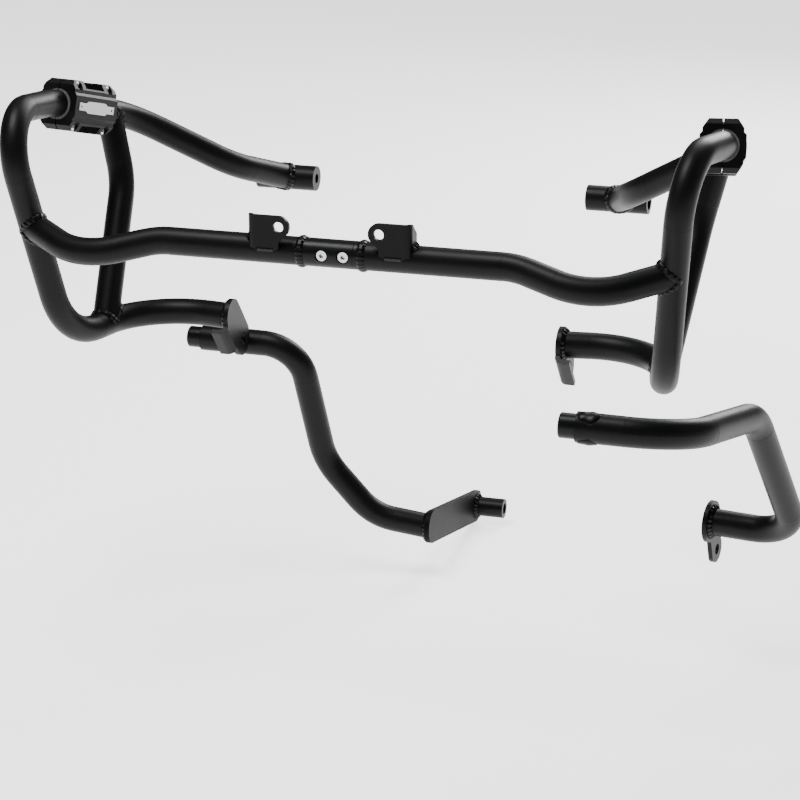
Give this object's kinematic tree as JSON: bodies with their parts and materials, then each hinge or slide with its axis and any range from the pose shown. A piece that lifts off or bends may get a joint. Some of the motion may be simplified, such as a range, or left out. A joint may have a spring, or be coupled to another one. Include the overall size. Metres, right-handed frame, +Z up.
{
  "type": "motorcycle crash bars",
  "caption": "Bent-tube crash bars for a motorcycle: a bolted pair of upper loops with clamps, and two lower bars with an arm and a drilled flange.",
  "frame": {"origin": "middle of the cross tube's coupling, on the tube's axis", "axes": "+X across the bike towards the right of the picture, +Y towards the rear of the bike, +Z up"},
  "size_m": [0.7904, 0.6735, 0.5531],
  "materials": {
    "black_steel": "satin black powder coat",
    "machined_steel": "smooth satin black",
    "clamp_alloy": "fine satin black",
    "liner_rubber": "matt grey",
    "bare_plate": "brushed",
    "bright_screws": "bright stainless"
  },
  "bodies": {
    "root": {"left_main_tube": "black_steel", "right_main_tube": "black_steel", "left_cross_tube": "black_steel", "right_cross_tube": "black_steel", "left_brace_tube": "black_steel", "right_brace_tube": "black_steel", "left_lap_insert": "machined_steel", "right_lap_insert": "machined_steel", "left_tab": "black_steel", "right_tab": "black_steel", "left_flange_bracket": "black_steel", "right_flange_bracket": "black_steel", "left_boss": "black_steel", "right_boss": "black_steel", "left_clamp_inner_half": "clamp_alloy", "right_clamp_inner_half": "clamp_alloy", "left_clamp_outer_half": "clamp_alloy", "right_clamp_outer_half": "clamp_alloy", "left_clamp_liner": "liner_rubber", "right_clamp_liner": "liner_rubber", "left_clamp_plates": "bare_plate", "right_clamp_plates": "bare_plate", "left_clamp_screws": "bright_screws", "right_clamp_screws": "bright_screws", "coupling_screws": "bright_screws", "left_weld_beads": "black_steel", "right_weld_beads": "black_steel", "lower_left_tube": "black_steel", "lower_left_spigot": "machined_steel", "lower_left_arm": "black_steel", "lower_left_boss": "black_steel", "lower_left_weld_beads": "black_steel", "lower_right_tube": "black_steel", "lower_right_spigot": "machined_steel", "lower_right_flange": "black_steel", "lower_right_weld_beads": "black_steel"}
  },
  "joints": []
}
